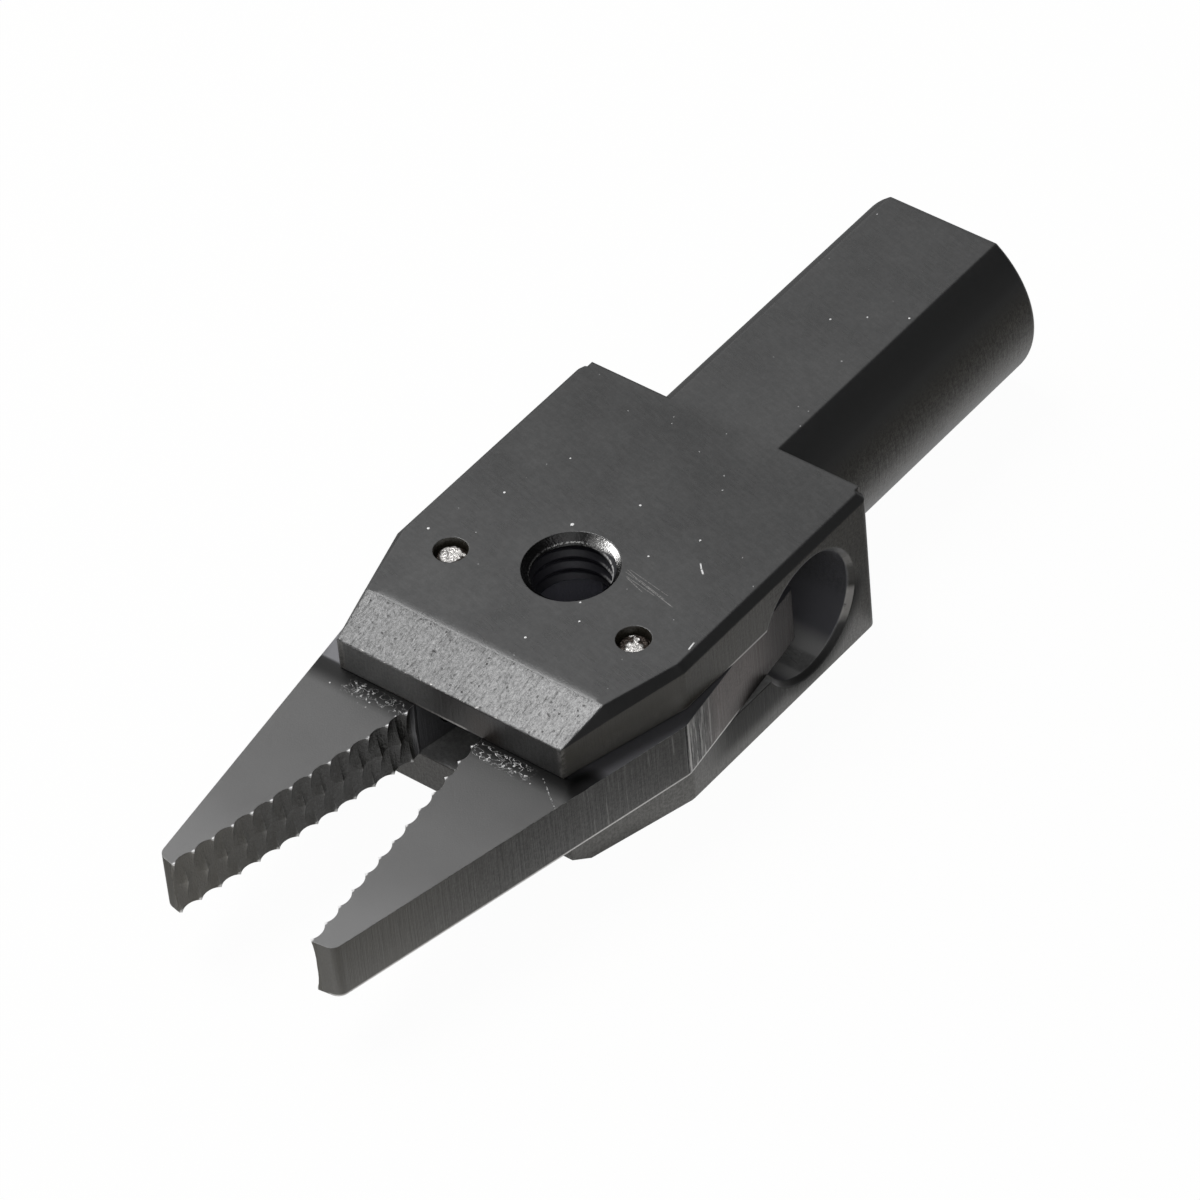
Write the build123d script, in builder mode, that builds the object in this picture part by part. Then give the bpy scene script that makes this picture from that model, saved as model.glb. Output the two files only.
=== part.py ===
from build123d import *
from math import cos, hypot, radians, sin, tan, tau
import os

os.makedirs("parts", exist_ok=True)

# Frame: X = 0 is the rear end face of the shank, +X runs toward the jaw tips,
# +Z is up and Z = 0 is the middle of the bar, Y = 0 is the middle plane.

# Body made from flat bar
bar_width = 16.0
bar_thickness = 8.0
shank_diameter = 10.0
shank_length = 16.7
shank_end_round = 0.3
body_length = 19.8
taper_length = 6.4
front_left_inset = 1.83
front_right_inset = 1.7
rear_corner_round = 0.5
edge_chamfer = 0.36
slope_strip_height = 0.6
slope_strip_width = 0.38
lower_edge_chamfer = 0.05
front_slope_length = 2.6
front_slope_drop = 0.8
lower_slope_length = 0.95
lower_slope_drop = 0.5

# Cross hole that ends the slot for the jaws, placed from the shank's shoulder
cross_hole_setback = 4.7
cross_hole_diameter = 6.2
cross_hole_chamfer = 0.25

# Threaded hole in the top plate, cut at the thread's nominal diameter
centre_thread_setback = 11.1
centre_thread_diameter = 4.0
centre_thread_mouth = 4.48

# Jaw pivots, placed from the shank's shoulder and the bar's edges
pivot_setback = 13.2
pivot_inset = 2.9
pin_diameter = 1.6
pin_recess = 0.35
pin_end_chamfer = 0.2
press_gap = 0.01
pivot_clearance = 0.03

# Jaws, laid out in the pose where the two toothed faces are parallel;
# lengths run from the pivot, widths from the pivot or from the middle plane
jaw_thickness = 2.96
jaw_face_gap = 0.04
grip_half_gap = 0.62
inner_half_gap = 1.0
jaw_reach = 19.655
reach_difference = 0.125
left_tip_width = 1.24
right_tip_width = 1.01
tip_outer_round = 0.55
tip_inner_round = 0.1
left_elbow_length = 1.5
right_elbow_length = 0.6
elbow_width = 3.33
elbow_round = 0.8
tail_length = 8.2
tail_width = 3.15
tail_corner_round = 0.3
throat_length = 5.75
throat_step = 0.5
nose_radius = 0.6
nose_length = 7.1
nose_closed_y = 2.16
screw_relief_radius = 2.2

# Teeth: two crossing rows of round grooves, so that cusps stand in rows
# at the top edge, the middle and the bottom edge of the toothed face
tooth_pitch = 1.08
tooth_land = 0.06
tooth_depth = 0.25
groove_crossing_z = 1.55
cusp_from_tip = 0.1
groove_count = 13

# Swing of the jaws, in degrees, from the parallel pose
left_opening = 7.15
right_opening = 11.35
closing_past_parallel = 1.25

# Drive: bores along the shank axis
piston_bore_diameter = 6.0
piston_bore_end_wall = 1.3
plug_shoulder = 0.4
thread_bore_depth = 3.6
bush_wall = 0.76
bush_length = 2.5
rod_passage_gap = 0.1
plug_spigot_length = 1.4
plug_seal_setback = 0.7
port_diameter = 5.0
port_depth = 3.4
port_passage_diameter = 4.0
spanner_slot_width = 1.0
spanner_slot_depth = 0.8
spanner_slot_offset = 2.6

# Piston, rod and cone
piston_clearance = 0.05
piston_end_gap = 0.2
piston_length = 3.2
rod_diameter = 2.8
rod_clearance = 0.04
rod_spigot_diameter = 1.6
cone_tip_setback = 0.1
cone_half_angle = 22.5
cone_tip_radius = 0.25
nut_width = 3.2
nut_thickness = 1.25
nut_side_gap = 0.1
nut_sink = 0.15
seal_section = 0.84
seal_side_gap = 0.13
seal_setback = 0.95
plug_seal_section = 0.53
plug_seal_side_gap = 0.135
seal_gap = 0.01

# Springs
return_wire = 0.4
return_coil_gap = 0.6
return_turns = 5.5
jaw_spring_wire = 0.26
jaw_spring_diameter = 1.6
jaw_spring_turns = 5.5
jaw_spring_length = 3.5
spring_pocket_gap = 0.3
spring_pocket_depth = 1.0
jaw_spring_end_gap = 0.14
spring_seat_gap = 0.02
coil_steps = 10

# Values that follow from the ones above
body_front_x = shank_length + body_length
taper_start_x = body_front_x - taper_length
front_slope_start_x = body_front_x - front_slope_length
lower_slope_start_x = body_front_x - lower_slope_length
front_left_y = bar_width / 2 - front_left_inset
front_right_y = bar_width / 2 - front_right_inset
cross_hole_x = shank_length + cross_hole_setback
centre_thread_x = shank_length + centre_thread_setback
slot_height = jaw_thickness + 2 * jaw_face_gap

pivot_x = shank_length + pivot_setback
pivot_y = bar_width / 2 - pivot_inset
left_tip_x = pivot_x + jaw_reach + reach_difference
right_tip_x = pivot_x + jaw_reach - reach_difference
left_tip_outer_y = grip_half_gap + left_tip_width
right_tip_outer_y = grip_half_gap + right_tip_width
left_elbow_x = pivot_x + left_elbow_length
right_elbow_x = pivot_x + right_elbow_length
elbow_y = pivot_y + elbow_width
tail_end_x = pivot_x - tail_length
tail_end_y = pivot_y + tail_width
throat_x = pivot_x + throat_length
nose_closed_x = pivot_x - nose_length
jaw_spring_x = pivot_x + jaw_spring_length
spring_pocket_diameter = jaw_spring_diameter + 2 * spring_pocket_gap

piston_bore_end_x = shank_length - piston_bore_end_wall
thread_bore_diameter = piston_bore_diameter + 2 * plug_shoulder
bush_bore_diameter = rod_diameter + 2 * (rod_clearance + bush_wall)
rod_passage_diameter = rod_diameter + 2 * rod_passage_gap
plug_front_x = thread_bore_depth + plug_spigot_length
plug_seal_x = plug_front_x - plug_seal_setback
plug_groove_width = plug_seal_section + 2 * plug_seal_side_gap
piston_rear_x = plug_front_x + piston_end_gap
piston_front_x = piston_rear_x + piston_length
rod_tip_x = nose_closed_x - cone_tip_setback
nut_recess_diameter = nut_width / cos(radians(30)) + 2 * nut_side_gap
nut_recess_depth = nut_thickness + nut_sink
seal_groove_x = piston_front_x - seal_setback
seal_groove_width = seal_section + 2 * seal_side_gap
return_coil_diameter = piston_bore_diameter - 2 * return_coil_gap

half_bar = bar_thickness / 2
half_jaw = jaw_thickness / 2
bore_radius = piston_bore_diameter / 2
rod_radius = rod_diameter / 2
cone_length = (rod_radius - cone_tip_radius) / tan(radians(cone_half_angle))
groove_half = (tooth_pitch - tooth_land) / 2
groove_radius = (groove_half ** 2 + tooth_depth ** 2) / (2 * tooth_depth)
pin_bore_radius = pin_diameter / 2 + press_gap


# Point turned about the origin by an angle in degrees
def turned(x, y, angle):
    a = radians(angle)
    return x * cos(a) - y * sin(a), x * sin(a) + y * cos(a)


# Housing: shank, bar body, two plates with the slot between, bores
with BuildPart() as housing:
    with BuildSketch(Plane.XY.offset(-half_bar)):
        with BuildLine():
            Polyline(
                (shank_length, -bar_width / 2),
                (taper_start_x, -bar_width / 2),
                (body_front_x, -front_right_y),
                (body_front_x, front_left_y),
                (taper_start_x, bar_width / 2),
                (shank_length, bar_width / 2),
                close=True,
            )
        make_face()
    extrude(amount=bar_thickness)
    rear_uprights = housing.edges().filter_by(Axis.Z).group_by(Axis.X)[0]
    fillet(rear_uprights, rear_corner_round)
    rims = housing.edges().filter_by(Axis.Z, reverse=True).filter_by(
        lambda e: (e @ 0.5).X < taper_start_x
    )
    level_rims = rims.filter_by(lambda e: abs((e @ 0).Z - (e @ 1).Z) < 0.001)
    chamfer(level_rims.filter_by(lambda e: (e @ 0).Z > 0), edge_chamfer)
    chamfer(level_rims.filter_by(lambda e: (e @ 0).Z < 0), lower_edge_chamfer)
    # The rear edge between the rounded corners stays sharp
    with Locations((shank_length, 0, 0)):
        Box(
            2 * edge_chamfer,
            bar_width - 2 * rear_corner_round,
            bar_thickness,
            align=(Align.MIN, Align.CENTER, Align.CENTER),
        )

    # Shank with two flats left by the bar
    with BuildSketch(Plane.YZ):
        Circle(shank_diameter / 2)
        Rectangle(shank_diameter, bar_thickness, mode=Mode.INTERSECT)
    extrude(amount=shank_length + 1.0)
    shank_end = housing.faces().sort_by(Axis.X)[0]
    fillet(shank_end.edges(), shank_end_round)

    # Slope at the front of the top plate, and a short one under the bottom plate
    for up, start_x, drop in (
        (1, front_slope_start_x, front_slope_drop),
        (-1, lower_slope_start_x, lower_slope_drop),
    ):
        with BuildSketch(Plane.XZ):
            with BuildLine():
                Polyline(
                    (start_x, up * half_bar),
                    (body_front_x, up * (half_bar - drop)),
                    (body_front_x + 1, up * (half_bar - drop)),
                    (body_front_x + 1, up * (half_bar + 1)),
                    (start_x, up * (half_bar + 1)),
                    close=True,
                )
            make_face()
        extrude(amount=bar_width, both=True, mode=Mode.SUBTRACT)

    # Edge strips of the top plate: along each taper they grow a little deeper,
    # then run out to nothing at the front corner of the slope
    for side, front_y in ((1, front_left_y), (-1, front_right_y)):
        taper_share = (front_slope_start_x - taper_start_x) / (body_front_x - taper_start_x)
        slope_y = bar_width / 2 - (bar_width / 2 - front_y) * taper_share
        stations = (
            (taper_start_x, bar_width / 2, half_bar, edge_chamfer, edge_chamfer),
            (front_slope_start_x, slope_y, half_bar, slope_strip_width, slope_strip_height),
            (body_front_x, front_y, half_bar - front_slope_drop, 0.01, 0.01),
        )
        for first, second in ((0, 1), (1, 2)):
            for x, y, z, wide, deep in (stations[first], stations[second]):
                with BuildSketch(Plane.YZ.offset(x)):
                    with BuildLine():
                        Polyline(
                            (side * (y - wide), z),
                            (side * y, z - deep),
                            (side * (y + 0.4), z - deep),
                            (side * (y + 0.4), z + 0.4),
                            (side * (y - wide), z + 0.4),
                            close=True,
                        )
                    make_face()
            loft(ruled=True, mode=Mode.SUBTRACT)

    # Cross hole with broken rims, then the slot for the jaws
    with Locations((cross_hole_x, 0, 0)):
        Cylinder(
            cross_hole_diameter / 2, bar_width + 2, rotation=(90, 0, 0), mode=Mode.SUBTRACT
        )
    for side in (1, -1):
        rim = Plane(origin=(cross_hole_x, side * bar_width / 2, 0), z_dir=(0, side, 0))
        with Locations(rim):
            Cone(
                cross_hole_diameter / 2,
                cross_hole_diameter / 2 + cross_hole_chamfer,
                cross_hole_chamfer,
                align=(Align.CENTER, Align.CENTER, Align.MAX),
                mode=Mode.SUBTRACT,
            )
    slot_run = body_front_x + 1 - cross_hole_x
    with Locations((cross_hole_x + slot_run / 2, 0, 0)):
        Box(slot_run, bar_width + 2, slot_height, mode=Mode.SUBTRACT)

    # Threaded hole with its wide countersink, in the top plate only
    with Locations((centre_thread_x, 0, half_bar)):
        Cylinder(
            centre_thread_diameter / 2,
            half_bar,
            align=(Align.CENTER, Align.CENTER, Align.MAX),
            mode=Mode.SUBTRACT,
        )
        mouth_depth = (centre_thread_mouth - centre_thread_diameter) / 2
        Cone(
            centre_thread_diameter / 2,
            centre_thread_mouth / 2,
            mouth_depth,
            align=(Align.CENTER, Align.CENTER, Align.MAX),
            mode=Mode.SUBTRACT,
        )

    # Pin holes through both plates
    with Locations((pivot_x, pivot_y, 0), (pivot_x, -pivot_y, 0)):
        Cylinder(pin_bore_radius, bar_thickness + 2, mode=Mode.SUBTRACT)

    # Bores along the axis, from the shank end to the cross hole
    with BuildSketch(Plane.YZ):
        Circle(thread_bore_diameter / 2)
    extrude(amount=thread_bore_depth, mode=Mode.SUBTRACT)
    with BuildSketch(Plane.YZ):
        Circle(bore_radius)
    extrude(amount=piston_bore_end_x, mode=Mode.SUBTRACT)
    with BuildSketch(Plane.YZ):
        Circle(bush_bore_diameter / 2)
    extrude(amount=piston_bore_end_x + bush_length, mode=Mode.SUBTRACT)
    with BuildSketch(Plane.YZ):
        Circle(rod_passage_diameter / 2)
    extrude(amount=cross_hole_x, mode=Mode.SUBTRACT)
housing.part.label = "housing"
export_step(housing.part, "parts/housing.step")


# One jaw: side is 1 for the +Y jaw and -1 for the -Y jaw,
# opening is its swing from the parallel pose
def build_jaw(side, opening, tip_x, tip_outer_y, elbow_x):
    def spot(x, y):
        dx, dy = turned(x - pivot_x, y - pivot_y, opening)
        return pivot_x + dx, side * (pivot_y + dy)

    def lean(dx, dy):
        tx, ty = turned(dx, dy, opening)
        return tx, side * ty

    nose_dx, nose_dy = turned(
        nose_closed_x - pivot_x, nose_closed_y - pivot_y, closing_past_parallel
    )
    nose_x = pivot_x + nose_dx
    nose_y = pivot_y + nose_dy
    with BuildPart() as jaw:
        with BuildSketch(Plane.XY.offset(-half_jaw)) as plan:
            # Tail, elbow, tapering finger, toothed edge and throat
            corners = (
                (nose_x - nose_radius, nose_y),
                (tail_end_x, tail_end_y),
                (elbow_x, elbow_y),
                (tip_x, tip_outer_y),
                (tip_x, grip_half_gap),
                (throat_x + throat_step, grip_half_gap),
                (throat_x, inner_half_gap),
                (nose_x + 3.4, inner_half_gap),
                (nose_x, nose_y - nose_radius),
            )
            with BuildLine():
                Polyline(*[spot(x, y) for x, y in corners], close=True)
            make_face()
            with Locations(spot(nose_x, nose_y)):
                Circle(nose_radius)
            rounded = (
                (tail_end_x, tail_end_y, tail_corner_round),
                (elbow_x, elbow_y, elbow_round),
                (tip_x, tip_outer_y, tip_outer_round),
                (tip_x, grip_half_gap, tip_inner_round),
            )
            for x, y, size in rounded:
                fillet(plan.vertices().sort_by_distance((*spot(x, y), -half_jaw))[0], size)
        extrude(amount=jaw_thickness)

        # Relief that keeps the screw under the threaded hole free at every swing
        with BuildSketch(Plane.XY.offset(-half_jaw)):
            for swing in (-closing_past_parallel, right_opening):
                dx, dy = turned(centre_thread_x - pivot_x, -pivot_y, -swing)
                with Locations(spot(pivot_x + dx, pivot_y + dy)):
                    Circle(screw_relief_radius)
            make_hull()
        extrude(amount=jaw_thickness, mode=Mode.SUBTRACT)

        # Pivot hole
        with Locations((*spot(pivot_x, pivot_y), 0)):
            Cylinder(pin_diameter / 2 + pivot_clearance, jaw_thickness + 2, mode=Mode.SUBTRACT)

        # Blind pocket for the spring that opens the jaws
        pocket_mouth = Plane(
            origin=(*spot(jaw_spring_x, inner_half_gap + spring_pocket_depth), 0),
            z_dir=(*lean(0, -1), 0),
        )
        with Locations(pocket_mouth):
            Cylinder(
                spring_pocket_diameter / 2,
                spring_pocket_depth + 1,
                align=(Align.CENTER, Align.CENTER, Align.MIN),
                mode=Mode.SUBTRACT,
            )

        # Crossing grooves: each runs half a pitch sideways on its way from the
        # middle of the thickness to just past the upper and lower faces
        groove_y = grip_half_gap - (groove_radius - tooth_depth)
        for way in (1, -1):
            run_x, run_y = lean(way * tooth_pitch / 2, 0)
            for k in range(groove_count):
                groove_x = tip_x - cusp_from_tip - tooth_pitch * k
                groove_line = Plane(
                    origin=(*spot(groove_x, groove_y), 0),
                    z_dir=(run_x, run_y, groove_crossing_z),
                )
                with Locations(groove_line):
                    Cylinder(groove_radius, jaw_thickness + 1.5, mode=Mode.SUBTRACT)
    return jaw


jaw_left = build_jaw(1, left_opening, left_tip_x, left_tip_outer_y, left_elbow_x)
jaw_left.part.label = "jaw_left"
export_step(jaw_left.part, "parts/jaw_left.step")

jaw_right = build_jaw(
    -1, right_opening, right_tip_x, right_tip_outer_y, right_elbow_x
)
jaw_right.part.label = "jaw_right"
export_step(jaw_right.part, "parts/jaw_right.step")


# One pivot pin, pressed into both plates
def build_pin(side):
    with BuildPart() as pin:
        with Locations((pivot_x, side * pivot_y, 0)):
            Cylinder(pin_diameter / 2, bar_thickness - 2 * pin_recess)
        chamfer(pin.edges().filter_by(GeomType.CIRCLE).sort_by(Axis.Z)[-1], pin_end_chamfer)
    return pin


pivot_pin_left = build_pin(1)
pivot_pin_left.part.label = "pivot_pin_left"
export_step(pivot_pin_left.part, "parts/pivot_pin_left.step")

pivot_pin_right = build_pin(-1)
pivot_pin_right.part.label = "pivot_pin_right"
export_step(pivot_pin_right.part, "parts/pivot_pin_right.step")


# Plug that closes the shank bore and carries the air port
plug_spigot_radius = bore_radius - 0.03
plug_groove_bottom = bore_radius - plug_seal_section - 2 * seal_gap
with BuildPart() as end_plug:
    with BuildSketch(Plane.XY):
        with BuildLine():
            Polyline(
                (0, port_diameter / 2),
                (0, thread_bore_diameter / 2 - press_gap),
                (thread_bore_depth - press_gap, thread_bore_diameter / 2 - press_gap),
                (thread_bore_depth - press_gap, plug_spigot_radius),
                (plug_seal_x - plug_groove_width / 2, plug_spigot_radius),
                (plug_seal_x - plug_groove_width / 2, plug_groove_bottom),
                (plug_seal_x + plug_groove_width / 2, plug_groove_bottom),
                (plug_seal_x + plug_groove_width / 2, plug_spigot_radius),
                (plug_front_x, plug_spigot_radius),
                (plug_front_x, port_passage_diameter / 2),
                (port_depth, port_passage_diameter / 2),
                (port_depth, port_diameter / 2),
                close=True,
            )
        make_face()
    revolve(axis=Axis.X)
    # Two slots for a pin spanner, either side of the port
    with Locations((0, spanner_slot_offset, 0), (0, -spanner_slot_offset, 0)):
        Box(spanner_slot_depth * 2, spanner_slot_width * 2, spanner_slot_width, mode=Mode.SUBTRACT)
end_plug.part.label = "end_plug"
export_step(end_plug.part, "parts/end_plug.step")


# One square-cut ring that fills its groove up to the bore
def build_ring(middle_x, section):
    outer = bore_radius - seal_gap
    with BuildPart() as ring:
        with BuildSketch(Plane.YZ.offset(middle_x - section / 2)):
            Circle(outer)
            Circle(outer - section, mode=Mode.SUBTRACT)
        extrude(amount=section)
    return ring


plug_seal = build_ring(plug_seal_x, plug_seal_section)
plug_seal.part.label = "plug_seal"
export_step(plug_seal.part, "parts/plug_seal.step")


# Piston with a seal groove and a recess for its nut
piston_radius = bore_radius - piston_clearance
piston_groove_bottom = bore_radius - seal_section - 2 * seal_gap
spigot_bore_radius = rod_spigot_diameter / 2 + press_gap
with BuildPart() as piston:
    with BuildSketch(Plane.XY):
        with BuildLine():
            Polyline(
                (piston_rear_x, nut_recess_diameter / 2),
                (piston_rear_x, piston_radius),
                (seal_groove_x - seal_groove_width / 2, piston_radius),
                (seal_groove_x - seal_groove_width / 2, piston_groove_bottom),
                (seal_groove_x + seal_groove_width / 2, piston_groove_bottom),
                (seal_groove_x + seal_groove_width / 2, piston_radius),
                (piston_front_x, piston_radius),
                (piston_front_x, spigot_bore_radius),
                (piston_rear_x + nut_recess_depth, spigot_bore_radius),
                (piston_rear_x + nut_recess_depth, nut_recess_diameter / 2),
                close=True,
            )
        make_face()
    revolve(axis=Axis.X)
piston.part.label = "piston"
export_step(piston.part, "parts/piston.step")

piston_seal = build_ring(seal_groove_x, seal_section)
piston_seal.part.label = "piston_seal"
export_step(piston_seal.part, "parts/piston_seal.step")


# Rod with its spigot behind and its cone in front
nut_front_x = piston_rear_x + nut_recess_depth - press_gap
with BuildPart() as piston_rod:
    with BuildSketch(Plane.XY):
        with BuildLine():
            Polyline(
                (nut_front_x - nut_thickness - 0.05, 0),
                (nut_front_x - nut_thickness - 0.05, rod_spigot_diameter / 2),
                (piston_front_x + press_gap, rod_spigot_diameter / 2),
                (piston_front_x + press_gap, rod_radius),
                (rod_tip_x - cone_length, rod_radius),
                (rod_tip_x, cone_tip_radius),
                (rod_tip_x, 0),
                close=True,
            )
        make_face()
    revolve(axis=Axis.X)
piston_rod.part.label = "piston_rod"
export_step(piston_rod.part, "parts/piston_rod.step")

with BuildPart() as piston_nut:
    with BuildSketch(Plane.YZ.offset(nut_front_x - nut_thickness)):
        RegularPolygon(nut_width / 2, 6, major_radius=False)
        Circle(spigot_bore_radius, mode=Mode.SUBTRACT)
    extrude(amount=nut_thickness)
piston_nut.part.label = "piston_nut"
export_step(piston_nut.part, "parts/piston_nut.step")


# Plain bush that guides the rod
with BuildPart() as rod_bush:
    with BuildSketch(Plane.YZ.offset(piston_bore_end_x)):
        Circle(bush_bore_diameter / 2 - press_gap)
        Circle(rod_radius + rod_clearance, mode=Mode.SUBTRACT)
    extrude(amount=bush_length - press_gap)
rod_bush.part.label = "rod_bush"
export_step(rod_bush.part, "parts/rod_bush.step")


# One compression spring: its wire runs in short straight steps around the coil
def build_coil(start, direction, run, coil_diameter, wire, turns):
    radius = (coil_diameter - wire) / 2
    steps = round(coil_steps * turns)
    base = Plane(origin=start, z_dir=direction)
    path = [
        base.from_local_coords(
            (
                radius * cos(tau * turns * k / steps),
                radius * sin(tau * turns * k / steps),
                run * k / steps,
            )
        )
        for k in range(steps + 1)
    ]
    with BuildPart() as coil:
        with BuildLine() as wire_line:
            Polyline(*path)
        with BuildSketch(Plane(origin=path[0], z_dir=wire_line.line % 0)):
            RegularPolygon(wire / 2, 6)
        sweep(transition=Transition.RIGHT)
    return coil


# Spring that pushes the piston back
return_start_x = piston_front_x + spring_seat_gap + return_wire / 2
return_end_x = piston_bore_end_x - spring_seat_gap - return_wire / 2
return_spring = build_coil(
    (return_start_x, 0, 0),
    (1, 0, 0),
    return_end_x - return_start_x,
    return_coil_diameter,
    return_wire,
    return_turns,
)
return_spring.part.label = "return_spring"
export_step(return_spring.part, "parts/return_spring.step")


# Spring that opens the jaws, held between their pockets
def pocket_bottom(side, opening):
    reach = inner_half_gap + spring_pocket_depth
    dx, dy = turned(jaw_spring_x - pivot_x, reach - pivot_y, opening)
    return pivot_x + dx, side * (pivot_y + dy)


low_x, low_y = pocket_bottom(-1, right_opening)
high_x, high_y = pocket_bottom(1, left_opening)
span = hypot(high_x - low_x, high_y - low_y)
along_x = (high_x - low_x) / span
along_y = (high_y - low_y) / span
end_off = jaw_spring_end_gap + jaw_spring_wire / 2
jaw_spring = build_coil(
    (low_x + along_x * end_off, low_y + along_y * end_off, 0),
    (along_x, along_y, 0),
    span - 2 * end_off,
    jaw_spring_diameter,
    jaw_spring_wire,
    jaw_spring_turns,
)
jaw_spring.part.label = "jaw_spring"
export_step(jaw_spring.part, "parts/jaw_spring.step")
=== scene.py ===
import math

import bpy
import numpy as np
from mathutils import Matrix, Vector


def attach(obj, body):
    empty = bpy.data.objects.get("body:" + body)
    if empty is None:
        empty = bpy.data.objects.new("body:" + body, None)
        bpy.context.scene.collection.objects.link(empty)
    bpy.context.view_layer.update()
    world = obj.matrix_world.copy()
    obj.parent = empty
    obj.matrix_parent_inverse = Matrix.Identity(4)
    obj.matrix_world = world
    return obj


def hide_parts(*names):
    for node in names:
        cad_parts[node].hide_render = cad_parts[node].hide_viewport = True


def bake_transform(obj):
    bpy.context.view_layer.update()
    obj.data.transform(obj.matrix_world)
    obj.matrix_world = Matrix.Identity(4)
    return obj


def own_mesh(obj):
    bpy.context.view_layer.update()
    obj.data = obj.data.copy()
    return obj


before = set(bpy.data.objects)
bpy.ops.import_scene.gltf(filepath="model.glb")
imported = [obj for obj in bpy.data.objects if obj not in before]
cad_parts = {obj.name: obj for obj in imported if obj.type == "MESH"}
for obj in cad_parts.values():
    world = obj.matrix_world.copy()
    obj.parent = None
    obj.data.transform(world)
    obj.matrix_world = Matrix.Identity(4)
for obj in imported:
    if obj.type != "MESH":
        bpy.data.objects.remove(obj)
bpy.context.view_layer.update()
mm = 0.001
print("frame loaded,", len(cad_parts), "nodes")


# a shader socket that can be added, multiplied and compared like a number
class Link:
    def __init__(self, look, socket):
        self.look = look
        self.socket = socket

    # another output of the same node
    def pick(self, name):
        return Link(self.look, self.socket.node.outputs[name])

    def maths(self, operation, *values):
        return self.look.add("ShaderNodeMath", {"operation": operation}, dict(enumerate(values)))

    def __add__(self, other):
        return self.maths("ADD", self, other)

    def __sub__(self, other):
        return self.maths("SUBTRACT", self, other)

    def __rsub__(self, other):
        return self.maths("SUBTRACT", other, self)

    def __mul__(self, other):
        return self.maths("MULTIPLY", self, other)

    def __truediv__(self, other):
        return self.maths("DIVIDE", self, other)

    def __rtruediv__(self, other):
        return self.maths("DIVIDE", other, self)

    def __abs__(self):
        return self.maths("ABSOLUTE", self)

    __radd__ = __add__
    __rmul__ = __mul__

    def fraction(self):
        return self.maths("FRACT", self)

    def most(self, other):
        return self.maths("MAXIMUM", self, other)

    # 0 at or before low, 1 at or past high, smooth between; low may be above high
    def rise(self, low, high):
        return self.look.add(
            "ShaderNodeMapRange",
            {"interpolation_type": "SMOOTHSTEP"},
            {"Value": self, "From Min": low, "From Max": high},
        )


# the strongest of several masks at each point
def strongest(first, *others):
    for other in others:
        first = first.most(other)
    return first


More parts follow.
